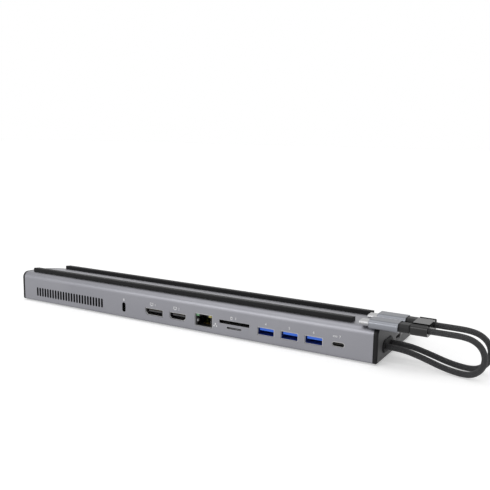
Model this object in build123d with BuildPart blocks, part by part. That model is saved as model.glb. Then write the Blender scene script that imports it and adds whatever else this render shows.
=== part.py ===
"""Laptop docking station: a long wedge-section aluminium body that lifts the back of a laptop.

Frame: +X runs along the body to the cable end, the tall port face looks along -Y, +Z is up.
The origin is on the table under the middle of the body. All sizes are in millimetres.
"""

from build123d import *
from math import pi, radians, sqrt, tan
import os

os.makedirs("parts", exist_ok=True)

# Body
overall_length = 320.0
body_depth = 77.5
body_height = 24.0
foot_height = 1.0
cap_thickness = 3.0
wall = 1.8
crown_radius = 215.0
crest_setback = 1.0
rear_top_radius = 5.0
rear_bottom_radius = 2.0
fit_gap = 0.15

# Bottom cover, board and what holds them
cover_thickness = 1.5
cover_margin = 4.0
board_underside = 4.4
board_thickness = 1.6
board_setback = 4.0
board_end_gap = 4.0
ledge_depth = 8.0
ledge_root = 0.6
ledge_headroom = 3.3
front_ledge_setback = 9.5
screw_row_inset = 1.0
shank_radius = 1.0
screw_gap = 0.05
head_radius = 1.9
head_height = 1.1
nut_height = 2.0
nut_radius = 1.9
hex_radius = 0.75
board_hex_radius = 0.8
cover_screw_x = (10.0, 108.0, 206.0, 304.0)
board_screw_x = (24.0, 124.0, 226.9, 297.6)

# Ends
plate_thickness = 1.2
plate_inset = 2.0
cap_chamfer = 1.0
channel_radius = 2.6
channel_sink = 0.6
channel_rear_gap = 2.1
channel_nut_gap = 0.7
front_channel_y = 62.0
end_screw_length = 9.0

# Rubber rails and feet
rail_width = 6.0
rail_length = 292.0
rail_start = 5.0
rail_height = 3.0
rail_round = 0.6
rear_rail_y = 9.0
front_rail_y = 47.0
rest_angle = 6.7
foot_width = 8.0
foot_length = 280.0
foot_chamfer = 0.3
rear_foot_y = 16.0
front_foot_y = 55.0

# Port face: x is measured from the left end of the shell, z from its underside
vent_count = 25
vent_pitch = 3.0
vent_start = 15.2
vent_z = 8.6
vent_width = 1.5
vent_height = 7.2
mesh_thickness = 0.4
mesh_margin = 3.0
lock_x = 109.9
lock_z = 8.6
lock_width = 3.0
lock_height = 7.3
lock_plate_width = 14.0
lock_plate_height = 8.6
lock_plate_thickness = 1.5
displayport_x = 139.5
hdmi_x = 161.6
rj45_x = 184.8
card_x = 210.9
sd_z = 10.9
usb_a_x = (236.4, 254.6, 272.7)
usb_c_x = 290.3
usb_c_lift = 1.47
mouth_recess = 0.3
shell_sheet = 0.35

# Sockets: outside width, outside height, depth
usb_a_size = (13.1, 5.7, 14.0)
usb_a_corner = 0.5
hdmi_size = (14.8, 5.3, 11.5)
displayport_size = (16.6, 5.3, 12.5)
usb_c_size = (8.94, 3.26, 7.6)
rj45_size = (15.4, 9.5, 17.0)
rj45_opening = (11.9, 6.8, 12.5)
sd_slot = (25.0, 2.6)
sd_corner = 0.5
sd_body = (26.6, 3.6, 28.0)
microsd_slot = (12.0, 1.5)
microsd_corner = 0.4
microsd_mouth = (12.0, 1.1)
microsd_body = (14.0, 1.9, 15.0)
reader_back = 2.0

# Electronics: places along the shell from its left end, and across it from the port face
chip_height = 1.2
pad_height = 1.0
spreader_length = 130.0
spreader_end = 160.0
spreader_depth = 34.0
spreader_middle_y = 38.75
spreader_thickness = 1.5
coil_x = 262.0
coil_width = 6.5
coil_height = 3.0
capacitor_x = 232.0
capacitor_radius = 3.1
capacitor_height = 5.5
part_row_y = 44.75
part_pitch = 9.0

# Right end
usb_c_side_y = 43.5
usb_c_side_lift = 0.37
cable_radius = 1.95
near_cable_y = 14.0
far_cable_y = 25.0
cable_z = 8.9
grommet_height = 8.6
grommet_flange = 1.2
grommet_neck = 7.0
grommet_chamfer = 0.5
neck_margin = 1.2

# Plugs and clip
tip_length = 6.65
tip_size = (8.25, 2.4)
tip_floor = 0.6
tip_seat_depth = 3.0
housing_size = (12.0, 6.2, 19.0)
housing_corner = 2.6
housing_chamfer = 0.4
collar_size = (9.0, 5.4, 7.0)
collar_corner = 2.2
collar_chamfer = 0.6
clip_length = 10.5
clip_height = 7.4
clip_corner = 2.8
clip_side_wall = 1.4
slit_width = 3.0
clip_travel_start = 0.3
cable_clearance = 0.3

# Derived places
shell_length = overall_length - 2 * cap_thickness
shell_left = -shell_length / 2
shell_right = shell_length / 2
rear_y = -body_depth / 2
front_y = body_depth / 2
base_z = foot_height
ledge_top = base_z + board_underside
board_top = ledge_top + board_thickness
mouth_y = rear_y + mouth_recess
inner_wall_y = rear_y + wall
end_face_x = overall_length / 2

# The nose circle touches the underside, the front and the crown
crest_y = rear_y + crest_setback
crown_z = base_z + body_height - crown_radius
reach = front_y - crest_y
nose_b = 2 * crown_radius - body_height - reach
nose_c = reach**2 + body_height**2 - 2 * crown_radius * body_height
nose_radius = sqrt(nose_b**2 - nose_c) - nose_b
nose_centre = Vector(front_y - nose_radius, base_z + nose_radius)
crown_centre = Vector(crest_y, crown_z)
nose_top = crown_centre + (nose_centre - crown_centre).normalized() * crown_radius


def crown_height(y):
    """Height of the crowned top at a place across the body."""
    return crown_z + sqrt(crown_radius**2 - (y - crest_y) ** 2)


def from_left(x):
    """Place along the body of a feature measured from the shell's left end."""
    return shell_left + x


def from_rear(y):
    """Place across the body of a feature measured from the port face."""
    return rear_y + y


def face_plane(y):
    """Plane facing out of the port face: x along the body, y up."""
    return Plane(origin=(0, y, 0), x_dir=(1, 0, 0), z_dir=(0, -1, 0))


def end_plane(x):
    """Plane facing out of the right end: x across the body, y up."""
    return Plane(origin=(x, 0, 0), x_dir=(0, 1, 0), z_dir=(1, 0, 0))


def save(piece, name):
    """Names a finished piece and writes it."""
    piece.label = name
    export_step(piece, f"parts/{name}.step")


def body_section(inset=0.0):
    """Cross-section of the body, drawn smaller all round by inset."""
    with BuildSketch() as section:
        with BuildLine():
            Line((rear_y, base_z), (nose_centre.X, base_z))
            ThreePointArc((nose_centre.X, base_z), (front_y, nose_centre.Y), nose_top)
            ThreePointArc(nose_top, (0, crown_height(0)), (rear_y, crown_height(rear_y)))
            Line((rear_y, crown_height(rear_y)), (rear_y, base_z))
        make_face()
        rear_corners = section.vertices().group_by(Axis.X)[0].sort_by(Axis.Y)
        fillet(rear_corners[0], rear_bottom_radius)
        fillet(section.vertices().group_by(Axis.X)[0].sort_by(Axis.Y)[-1:], rear_top_radius)
        if inset:
            offset(amount=-inset)
    return section.sketch


outer_section = body_section()
cavity_section = body_section(wall)
plate_section = body_section(plate_inset)
pocket_section = body_section(plate_inset - fit_gap)



def crown_reaches(height):
    """Place in front of the crest where the crown has come down to a height."""
    return crest_y + sqrt(crown_radius**2 - (height - crown_z) ** 2)


# Places that several pieces share. The front ledge ends, and the front screw channel hangs, where
# the crown still leaves room for the nuts on the board
nut_top = board_top + nut_height
ledge_limit = crown_reaches(nut_top + ledge_headroom + wall)
channel_limit = crown_reaches(nut_top + channel_nut_gap + 2 * channel_radius - channel_sink + wall)
front_ledge_end = min(front_y - front_ledge_setback, ledge_limit)
channel_y = min(from_rear(front_channel_y), channel_limit)
rear_ledge_y = from_rear(wall / 2 + ledge_root + ledge_depth / 2)
front_ledge_y = front_ledge_end - ledge_depth / 2
ledge_gap_start = rear_ledge_y + ledge_depth / 2
ledge_gap_end = front_ledge_y - ledge_depth / 2
cover_start = from_rear(cover_margin)
cover_end = front_ledge_end - wall
screw_rows = (rear_ledge_y + screw_row_inset, front_ledge_y - screw_row_inset)
channel_drop = wall + channel_radius - channel_sink
channel_places = (
    (from_rear(wall + channel_radius + channel_rear_gap), base_z + body_height - channel_drop),
    (channel_y, crown_height(channel_y) - channel_drop),
)
cover_screws_at = [(from_left(x), y) for x in cover_screw_x for y in screw_rows]
board_screws_at = [(from_left(x), y) for x in board_screw_x for y in screw_rows]


# Outlines of the sockets, grown or shrunk all round
def usb_a_outline(grow=0.0):
    RectangleRounded(usb_a_size[0] + 2 * grow, usb_a_size[1] + 2 * grow, usb_a_corner)


def usb_c_outline(grow=0.0):
    SlotOverall(usb_c_size[0] + 2 * grow, usb_c_size[1] + 2 * grow)


def hdmi_outline(grow=0.0):
    width, height = hdmi_size[0] + 2 * grow, hdmi_size[1] + 2 * grow
    slope = 1.7
    Polygon(
        (-width / 2, height / 2),
        (-width / 2, slope - height / 2),
        (slope - width / 2, -height / 2),
        (width / 2 - slope, -height / 2),
        (width / 2, slope - height / 2),
        (width / 2, height / 2),
        align=None,
    )


def displayport_outline(grow=0.0):
    width, height = displayport_size[0] + 2 * grow, displayport_size[1] + 2 * grow
    corner = 2.2
    Polygon(
        (-width / 2, height / 2),
        (-width / 2, corner - height / 2),
        (corner - width / 2, -height / 2),
        (width / 2, -height / 2),
        (width / 2, height / 2),
        align=None,
    )


def rj45_outline(grow=0.0):
    Rectangle(rj45_size[0] + 2 * grow, rj45_size[1] + 2 * grow)


usb_a_z = board_top + usb_a_size[1] / 2
hdmi_z = board_top + hdmi_size[1] / 2
displayport_z = board_top + displayport_size[1] / 2
rj45_z = ledge_top + rj45_size[1] / 2
usb_c_place = (from_left(usb_c_x), board_top + usb_c_lift + usb_c_size[1] / 2)
usb_c_side_place = (from_rear(usb_c_side_y), board_top + usb_c_side_lift + usb_c_size[1] / 2)
microsd_z = board_top + microsd_body[1] / 2
lock_place = (from_left(lock_x), base_z + lock_z)

face_cuts = [
    (usb_a_outline, from_left(usb_a_x[0]), usb_a_z),
    (usb_a_outline, from_left(usb_a_x[1]), usb_a_z),
    (usb_a_outline, from_left(usb_a_x[2]), usb_a_z),
    (hdmi_outline, from_left(hdmi_x), hdmi_z),
    (displayport_outline, from_left(displayport_x), displayport_z),
    (rj45_outline, from_left(rj45_x), rj45_z),
    (usb_c_outline, usb_c_place[0], usb_c_place[1]),
]

# Shell: extruded section with board ledges, a rebate for the cover and two screw channels
with BuildPart() as shell:
    with BuildSketch(Plane.YZ.offset(shell_left)):
        add(outer_section)
        add(cavity_section, mode=Mode.SUBTRACT)
        with Locations((rear_ledge_y, base_z + wall / 2 + (board_underside - wall / 2) / 2)):
            Rectangle(ledge_depth, board_underside - wall / 2)
        with Locations((front_ledge_y, base_z + board_underside / 2)):
            Rectangle(ledge_depth, board_underside)
        with Locations(*channel_places):
            Circle(channel_radius)
        with Locations(*channel_places):
            Circle(shank_radius + screw_gap, mode=Mode.SUBTRACT)
        with Locations(((cover_start + cover_end) / 2, base_z + cover_thickness / 2)):
            Rectangle(cover_end - cover_start, cover_thickness, mode=Mode.SUBTRACT)
        with Locations(((ledge_gap_start + ledge_gap_end) / 2, base_z + board_underside / 2)):
            Rectangle(ledge_gap_end - ledge_gap_start, board_underside, mode=Mode.SUBTRACT)
    extrude(amount=shell_length)
    with BuildSketch(face_plane(rear_y)):
        for outline, x, z in face_cuts:
            with Locations((x, z)):
                outline(fit_gap)
        with Locations((from_left(card_x), base_z + sd_z)):
            RectangleRounded(sd_slot[0], sd_slot[1], sd_corner)
        with Locations((from_left(card_x), microsd_z)):
            RectangleRounded(microsd_slot[0], microsd_slot[1], microsd_corner)
        with Locations(lock_place):
            SlotOverall(lock_height, lock_width, rotation=90)
        for index in range(vent_count):
            with Locations((from_left(vent_start + index * vent_pitch), base_z + vent_z)):
                SlotOverall(vent_height, vent_width, rotation=90)
    extrude(amount=-(wall + fit_gap), mode=Mode.SUBTRACT)
    with BuildSketch(Plane.XY.offset(base_z + cover_thickness)):
        with Locations(*cover_screws_at, *board_screws_at):
            Circle(shank_radius + screw_gap)
    extrude(amount=board_underside - cover_thickness, mode=Mode.SUBTRACT)
    with BuildSketch(Plane.XY.offset(base_z + cover_thickness)):
        with Locations(*board_screws_at):
            Circle(head_radius + fit_gap)
    extrude(amount=head_height, mode=Mode.SUBTRACT)
save(shell.part, "shell")

# Bottom cover: flat plate in the rebate
cover_length = shell_length - 2 * fit_gap
with BuildPart() as bottom_cover:
    with BuildSketch(Plane.XY.offset(base_z)):
        with Locations((0, (cover_start + cover_end) / 2)):
            Rectangle(cover_length, cover_end - cover_start - 2 * fit_gap)
    extrude(amount=cover_thickness)
    with Locations(*[Plane(origin=(x, y, base_z), z_dir=(0, 0, -1)) for x, y in cover_screws_at]):
        CounterSinkHole(shank_radius + screw_gap, head_radius + screw_gap, cover_thickness)
save(bottom_cover.part, "bottom_cover")


# Countersunk screws driven upwards, heads flush with the underside
cone_height = head_radius - shank_radius
with BuildPart() as cover_screws:
    with BuildSketch(Plane.XY.offset(base_z)):
        with Locations(*cover_screws_at):
            Circle(head_radius)
    extrude(amount=cone_height, taper=45)
    with BuildSketch(Plane.XY.offset(base_z)):
        with Locations(*cover_screws_at):
            Circle(shank_radius)
    extrude(amount=board_underside - screw_gap)
    with BuildSketch(Plane.XY.offset(base_z)):
        with Locations(*cover_screws_at):
            RegularPolygon(hex_radius, 6)
    extrude(amount=cone_height, mode=Mode.SUBTRACT)
save(cover_screws.part, "cover_screws")


# Feet: rubber strips glued under the cover
def foot_strip(name, y):
    with BuildPart() as strip:
        with BuildSketch(Plane.XY):
            with Locations((0, y)):
                SlotOverall(foot_length, foot_width)
        extrude(amount=foot_height)
        chamfer(strip.faces().sort_by(Axis.Z)[0].edges(), foot_chamfer)
    save(strip.part, name)


foot_strip("rear_foot_strip", from_rear(rear_foot_y))
foot_strip("front_foot_strip", from_rear(front_foot_y))


# Rails: rubber strips that sit on the crown, their tops in the laptop's tilted plane
def laptop_plane_height(y):
    """Height of the plane that the laptop's underside lies in."""
    rise = (y - from_rear(rear_rail_y)) * tan(radians(rest_angle))
    return crown_height(from_rear(rear_rail_y)) + rail_height - rise


def rail(name, y):
    low = y - rail_width / 2
    high = y + rail_width / 2
    with BuildPart() as strip:
        with BuildSketch(Plane.YZ.offset(from_left(rail_start))):
            with BuildLine():
                Polyline(
                    (low, base_z + body_height / 2),
                    (high, base_z + body_height / 2),
                    (high, laptop_plane_height(high)),
                    (low, laptop_plane_height(low)),
                    close=True,
                )
            make_face()
            add(outer_section, mode=Mode.SUBTRACT)
        extrude(amount=rail_length)
        top_edges = strip.edges().group_by(SortBy.LENGTH)[-1].group_by(Axis.Z)[-1]
        fillet(top_edges, rail_round)
    save(strip.part, name)


rail("top_rail_rear", from_rear(rear_rail_y))
rail("top_rail_front", from_rear(front_rail_y))

# Right end openings: the grommet's neck and the side socket
grommet_y = from_rear((near_cable_y + far_cable_y) / 2)
grommet_width = far_cable_y - near_cable_y + grommet_height
neck_size = (grommet_width - 2 * neck_margin, grommet_height - 2 * neck_margin)
grommet_place = (grommet_y, base_z + cable_z)


with BuildPart() as right_end_openings:
    with BuildSketch(end_plane(end_face_x)):
        with Locations(grommet_place):
            SlotOverall(neck_size[0] + 2 * fit_gap, neck_size[1] + 2 * fit_gap)
        with Locations(usb_c_side_place):
            usb_c_outline(fit_gap)
    extrude(amount=-cap_thickness)


def end_plate(name, outward, openings):
    """Metal plate screwed to the end of the shell, hidden by the cap."""
    inner_x = outward * shell_length / 2
    outer_x = inner_x + outward * plate_thickness
    with BuildPart() as plate:
        with BuildSketch(Plane.YZ.offset(min(inner_x, outer_x))):
            add(plate_section)
        extrude(amount=plate_thickness)
        holes = [Plane(origin=(outer_x, y, z), z_dir=(outward, 0, 0)) for y, z in channel_places]
        with Locations(*holes):
            CounterSinkHole(shank_radius + screw_gap, head_radius + screw_gap, plate_thickness)
        if openings:
            add(right_end_openings.part, mode=Mode.SUBTRACT)
    save(plate.part, name)


end_plate("left_end_plate", -1, False)
end_plate("right_end_plate", 1, True)


def end_cap(name, outward, openings):
    """Plastic cap over the end plate, its outer edge chamfered all round."""
    inner_x = outward * shell_length / 2
    outer_x = inner_x + outward * cap_thickness
    with BuildPart() as cap:
        with BuildSketch(Plane.YZ.offset(min(inner_x, outer_x))):
            add(outer_section)
        extrude(amount=cap_thickness)
        outer_face = cap.faces().filter_by(Axis.X).sort_by(Axis.X)[-1 if outward > 0 else 0]
        chamfer(outer_face.edges(), cap_chamfer)
        with BuildSketch(Plane.YZ.offset(min(inner_x, inner_x + outward * plate_thickness))):
            add(pocket_section)
        extrude(amount=plate_thickness, mode=Mode.SUBTRACT)
        if openings:
            add(right_end_openings.part, mode=Mode.SUBTRACT)
    save(cap.part, name)


end_cap("left_end_cap", -1, False)
end_cap("right_end_cap", 1, True)

with BuildPart() as end_plate_screws:
    for side in (-1, 1):
        plate_x = side * (shell_length / 2 + plate_thickness)
        for channel_y, channel_z in channel_places:
            with BuildSketch(Plane(origin=(plate_x, channel_y, channel_z), z_dir=(side, 0, 0))):
                Circle(head_radius)
            extrude(amount=-cone_height, taper=45)
            with BuildSketch(Plane(origin=(plate_x, channel_y, channel_z), z_dir=(side, 0, 0))):
                Circle(shank_radius)
            extrude(amount=-end_screw_length)
save(end_plate_screws.part, "end_plate_screws")

# Main board, with a notch for the network socket that is sunk into it
board_start_y = from_rear(board_setback)
board_length = shell_length - 2 * board_end_gap
rj45_end_y = mouth_y + rj45_size[2]
with BuildPart() as main_board:
    with BuildSketch(Plane.XY.offset(ledge_top)):
        with Locations((0, (board_start_y + front_ledge_end) / 2)):
            Rectangle(board_length, front_ledge_end - board_start_y)
        with Locations((from_left(rj45_x), (board_start_y + rj45_end_y) / 2)):
            notch_depth = rj45_end_y - board_start_y + 2 * fit_gap
            Rectangle(rj45_size[0] + 2 * fit_gap, notch_depth, mode=Mode.SUBTRACT)
        with Locations(*board_screws_at):
            Circle(shank_radius + 2 * fit_gap, mode=Mode.SUBTRACT)
    extrude(amount=board_thickness)
save(main_board.part, "main_board")

with BuildPart() as board_nuts:
    with BuildSketch(Plane.XY.offset(board_top)):
        with Locations(*board_screws_at):
            Circle(nut_radius)
        with Locations(*board_screws_at):
            Circle(shank_radius + screw_gap, mode=Mode.SUBTRACT)
    extrude(amount=nut_height)
save(board_nuts.part, "board_nuts")

with BuildPart() as board_screws:
    with BuildSketch(Plane.XY.offset(base_z + cover_thickness)):
        with Locations(*board_screws_at):
            Circle(head_radius)
    extrude(amount=head_height)
    with BuildSketch(Plane.XY.offset(base_z + cover_thickness + head_height)):
        with Locations(*board_screws_at):
            Circle(shank_radius)
    extrude(amount=board_top + nut_height - base_z - cover_thickness - head_height)
    with BuildSketch(Plane.XY.offset(base_z + cover_thickness)):
        with Locations(*board_screws_at):
            RegularPolygon(board_hex_radius, 6)
    extrude(amount=head_height / 2, mode=Mode.SUBTRACT)
save(board_screws.part, "board_screws")


# Sockets: a sheet-metal shell, and a plastic insert with its tongue and a block behind
def socket_shell(name, plane, place, outline, depth):
    with BuildPart() as sheet:
        with BuildSketch(plane):
            with Locations(place):
                outline()
        extrude(amount=-depth)
        with BuildSketch(plane):
            with Locations(place):
                outline(-shell_sheet)
        extrude(amount=-depth, mode=Mode.SUBTRACT)
    save(sheet.part, name)


def socket_insert(name, plane, place, size, tongue, tongue_lift):
    """The tongue reaches forward from a block that fills the gap behind and stands on the board."""
    width, height, depth = size
    block_depth = 3.0
    block_top = place[1] + height / 2
    block_height = block_top - board_top
    with BuildPart() as insert:
        with BuildSketch(plane.offset(-depth)):
            with Locations((place[0], board_top + block_height / 2)):
                Rectangle(width, block_height)
        extrude(amount=-block_depth)
        with BuildSketch(plane.offset(-tongue[2])):
            with Locations((place[0], place[1] + tongue_lift)):
                Rectangle(tongue[0], tongue[1])
        extrude(amount=-(depth - tongue[2] + block_depth / 2))
    save(insert.part, name)


mouth_plane = face_plane(mouth_y)
side_mouth_plane = end_plane(end_face_x - mouth_recess)

# Tongues: width, thickness, setback from the mouth; then the lift above the socket's middle
usb_a_tongue = (11.1, 1.85, 1.6)
usb_a_tongue_lift = 1.15
hdmi_tongue = (11.0, 1.2, 1.5)
hdmi_tongue_lift = 0.5
displayport_tongue = (12.2, 1.3, 1.5)
displayport_tongue_lift = 0.4
usb_c_tongue = (6.69, 0.7, 1.0)

for number, socket_x in enumerate(usb_a_x, start=1):
    socket_place = (from_left(socket_x), usb_a_z)
    socket_shell(f"usb_a_shell_{number}", mouth_plane, socket_place, usb_a_outline, usb_a_size[2])
    insert_name = f"usb_a_insert_{number}"
    socket_insert(insert_name, mouth_plane, socket_place, usb_a_size, usb_a_tongue, usb_a_tongue_lift)

hdmi_place = (from_left(hdmi_x), hdmi_z)
socket_shell("hdmi_shell", mouth_plane, hdmi_place, hdmi_outline, hdmi_size[2])
socket_insert("hdmi_insert", mouth_plane, hdmi_place, hdmi_size, hdmi_tongue, hdmi_tongue_lift)

displayport_place = (from_left(displayport_x), displayport_z)
displayport_depth = displayport_size[2]
socket_shell("displayport_shell", mouth_plane, displayport_place, displayport_outline, displayport_depth)
socket_insert(
    "displayport_insert",
    mouth_plane,
    displayport_place,
    displayport_size,
    displayport_tongue,
    displayport_tongue_lift,
)

socket_shell("usb_c_power_shell", mouth_plane, usb_c_place, usb_c_outline, usb_c_size[2])
socket_insert("usb_c_power_insert", mouth_plane, usb_c_place, usb_c_size, usb_c_tongue, 0.0)
socket_shell("usb_c_side_shell", side_mouth_plane, usb_c_side_place, usb_c_outline, usb_c_size[2])
socket_insert("usb_c_side_insert", side_mouth_plane, usb_c_side_place, usb_c_size, usb_c_tongue, 0.0)

# Network socket: metal shield, plastic body with the stepped opening, two light guides
rj45_place = (from_left(rj45_x), rj45_z)
rj45_floor_thickness = 0.75
rj45_floor = rj45_z - rj45_size[1] / 2 + rj45_floor_thickness
step_one = (6.4, 0.9)
step_two = (3.8, 0.6)
guide_size = (2.5, 1.5)
guide_offset = 5.4
guide_z = rj45_z + rj45_size[1] / 2 - shell_sheet - guide_size[1] / 2 - fit_gap
socket_shell("rj45_shield", mouth_plane, rj45_place, rj45_outline, rj45_size[2])


with BuildPart() as rj45_body:
    with BuildSketch(mouth_plane.offset(-shell_sheet)):
        with Locations(rj45_place):
            rj45_outline(-shell_sheet)
    extrude(amount=-(rj45_size[2] - 2 * shell_sheet))
    with BuildSketch(mouth_plane):
        with Locations((rj45_place[0], rj45_floor + rj45_opening[1] / 2)):
            Rectangle(rj45_opening[0], rj45_opening[1])
        with Locations((rj45_place[0], rj45_floor + rj45_opening[1])):
            Rectangle(step_one[0], 2 * step_one[1])
            Rectangle(step_two[0], 2 * (step_one[1] + step_two[1]))
    extrude(amount=-rj45_opening[2], mode=Mode.SUBTRACT)
    with BuildSketch(mouth_plane):
        for side in (-1, 1):
            with Locations((rj45_place[0] + side * guide_offset, guide_z)):
                Rectangle(guide_size[0] + 2 * screw_gap, guide_size[1] + 2 * screw_gap)
    extrude(amount=-rj45_opening[2], mode=Mode.SUBTRACT)
save(rj45_body.part, "rj45_body")

with BuildPart() as rj45_light_guides:
    with BuildSketch(mouth_plane.offset(-shell_sheet)):
        for side in (-1, 1):
            with Locations((rj45_place[0] + side * guide_offset, guide_z)):
                Rectangle(guide_size[0], guide_size[1])
    extrude(amount=-(rj45_opening[2] - shell_sheet))
save(rj45_light_guides.part, "rj45_light_guides")


# Card readers: flat boxes with a slot; the upper one stands on two side rails
def card_reader(name, z, body, slot, leg_foot):
    width, height, depth = body
    reader_plane = face_plane(inner_wall_y + fit_gap)
    leg_width = 0.8
    with BuildPart() as reader:
        with BuildSketch(reader_plane):
            with Locations((from_left(card_x), z)):
                Rectangle(width, height)
            for side in (-1, 1) if leg_foot is not None else ():
                leg_height = z - height / 2 - leg_foot
                leg_x = from_left(card_x) + side * (width - leg_width) / 2
                with Locations((leg_x, leg_foot + leg_height / 2)):
                    Rectangle(leg_width, leg_height)
        extrude(amount=-depth)
        with BuildSketch(reader_plane):
            with Locations((from_left(card_x), z)):
                Rectangle(slot[0], slot[1])
        extrude(amount=-(depth - reader_back), mode=Mode.SUBTRACT)
        if leg_foot is not None:
            overhang = board_setback - wall - fit_gap
            with BuildSketch(reader_plane):
                with Locations((from_left(card_x), leg_foot)):
                    Rectangle(width, 2 * microsd_body[1])
            extrude(amount=-overhang, mode=Mode.SUBTRACT)
    save(reader.part, name)


card_reader("sd_reader", base_z + sd_z, sd_body, sd_slot, board_top)
card_reader("microsd_reader", microsd_z, microsd_body, microsd_mouth, None)

# Lock plate and dust mesh, both flat against the inside of the port face
inner_face = face_plane(inner_wall_y)
with BuildPart() as lock_plate:
    with BuildSketch(inner_face):
        with Locations((lock_place[0], ledge_top + lock_plate_height / 2)):
            Rectangle(lock_plate_width, lock_plate_height)
        with Locations(lock_place):
            SlotOverall(lock_height, lock_width, rotation=90, mode=Mode.SUBTRACT)
    extrude(amount=-lock_plate_thickness)
save(lock_plate.part, "lock_plate")

mesh_length = (vent_count - 1) * vent_pitch + 2 * mesh_margin
with BuildPart() as vent_mesh:
    with BuildSketch(inner_face):
        vent_middle = from_left(vent_start + (vent_count - 1) * vent_pitch / 2)
        with Locations((vent_middle, ledge_top + lock_plate_height / 2)):
            Rectangle(mesh_length, lock_plate_height)
    extrude(amount=-mesh_thickness)
save(vent_mesh.part, "vent_mesh")

# Electronics on the board: x from the shell's left end, y from the port face, width, depth
chips = {
    "main_controller_chip": (148.0, 36.75, 15.0, 15.0),
    "display_chip": (120.0, 38.75, 12.0, 12.0),
    "network_chip": (190.0, 38.75, 8.0, 8.0),
    "power_chip": (284.0, 46.75, 7.0, 7.0),
}
for chip_name, (chip_x, chip_y, chip_width, chip_depth) in chips.items():
    with BuildPart() as chip:
        with BuildSketch(Plane.XY.offset(board_top)):
            with Locations((from_left(chip_x), from_rear(chip_y))):
                Rectangle(chip_width, chip_depth)
        extrude(amount=chip_height)
    save(chip.part, chip_name)

cooled_chips = [chips["main_controller_chip"], chips["display_chip"]]
with BuildPart() as thermal_pads:
    with BuildSketch(Plane.XY.offset(board_top + chip_height)):
        for chip_x, chip_y, chip_width, chip_depth in cooled_chips:
            with Locations((from_left(chip_x), from_rear(chip_y))):
                Rectangle(chip_width, chip_depth)
    extrude(amount=pad_height)
save(thermal_pads.part, "thermal_pads")

spreader_x = from_left(spreader_end - spreader_length / 2)
with BuildPart() as heat_spreader:
    with BuildSketch(Plane.XY.offset(board_top + chip_height + pad_height)):
        with Locations((spreader_x, from_rear(spreader_middle_y))):
            Rectangle(spreader_length, spreader_depth)
    extrude(amount=spreader_thickness)
save(heat_spreader.part, "heat_spreader")

with BuildPart() as board_inductors:
    with BuildSketch(Plane.XY.offset(board_top)):
        with Locations((from_left(coil_x), from_rear(part_row_y))):
            with GridLocations(part_pitch, part_pitch, 3, 2):
                RectangleRounded(coil_width, coil_width, coil_width / 8)
    extrude(amount=coil_height)
save(board_inductors.part, "board_inductors")

with BuildPart() as board_capacitors:
    with BuildSketch(Plane.XY.offset(board_top)):
        with Locations((from_left(capacitor_x), from_rear(part_row_y))):
            with GridLocations(part_pitch, part_pitch, 3, 2):
                Circle(capacitor_radius)
    extrude(amount=capacitor_height)
save(board_capacitors.part, "board_capacitors")

# Cable entry: a moulded grommet, the tails inside, a clamp on the board and two headers
cable_rows = (from_rear(near_cable_y), from_rear(far_cable_y))
cable_level = base_z + cable_z
grommet_inside = end_face_x - grommet_neck
with BuildPart() as cable_grommet:
    with BuildSketch(end_plane(grommet_inside)):
        with Locations(grommet_place):
            SlotOverall(neck_size[0], neck_size[1])
    extrude(amount=grommet_neck)
    with BuildSketch(end_plane(end_face_x)):
        with Locations(grommet_place):
            SlotOverall(grommet_width, grommet_height)
    extrude(amount=grommet_flange)
    chamfer(cable_grommet.faces().sort_by(Axis.X)[-1].edges(), grommet_chamfer)
save(cable_grommet.part, "cable_grommet")

tail_length = 16.0
tail_radius = 1.7
with BuildPart() as cable_tails:
    with BuildSketch(end_plane(grommet_inside)):
        for row in cable_rows:
            with Locations((row, cable_level)):
                Circle(tail_radius)
    extrude(amount=-tail_length)
save(cable_tails.part, "cable_tails")

header_size = (6.0, 5.6, 4.4)
with BuildPart() as cable_headers:
    with BuildSketch(Plane.XY.offset(board_top)):
        for row in cable_rows:
            with Locations((grommet_inside - tail_length - header_size[0] / 2, row)):
                Rectangle(header_size[0], header_size[1])
    extrude(amount=header_size[2])
save(cable_headers.part, "cable_headers")

clamp_length = 4.0
clamp_wall = 1.0
clamp_ear = 4.4
clamp_x = grommet_inside - 6.0
clamp_span = far_cable_y - near_cable_y + 2 * (tail_radius + clamp_wall + clamp_ear)
clamp_top = cable_level + tail_radius + clamp_wall
clamp_screws_at = [(clamp_x, grommet_y + side * (clamp_span - clamp_ear) / 2) for side in (-1, 1)]
with BuildPart() as cable_clamp:
    with BuildSketch(Plane.XY.offset(board_top)):
        with Locations((clamp_x, grommet_y)):
            Rectangle(clamp_length, clamp_span)
    extrude(amount=clamp_top - board_top)
    with BuildSketch(end_plane(clamp_x + clamp_length)):
        for row in cable_rows:
            with Locations((row, cable_level)):
                Circle(tail_radius + screw_gap)
            with Locations((row, (board_top + cable_level) / 2)):
                Rectangle(2 * (tail_radius + screw_gap), cable_level - board_top)
    extrude(amount=-2 * clamp_length, mode=Mode.SUBTRACT)
    with BuildSketch(Plane.XY.offset(board_top)):
        with Locations(*clamp_screws_at):
            Circle(shank_radius + screw_gap)
    extrude(amount=clamp_top - board_top, mode=Mode.SUBTRACT)
save(cable_clamp.part, "cable_clamp")

with BuildPart() as clamp_screws:
    with BuildSketch(Plane.XY.offset(board_top)):
        with Locations(*clamp_screws_at):
            Circle(shank_radius)
    extrude(amount=clamp_top - board_top)
    with BuildSketch(Plane.XY.offset(clamp_top)):
        with Locations(*clamp_screws_at):
            Circle(head_radius)
    extrude(amount=head_height)
save(clamp_screws.part, "clamp_screws")

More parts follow.
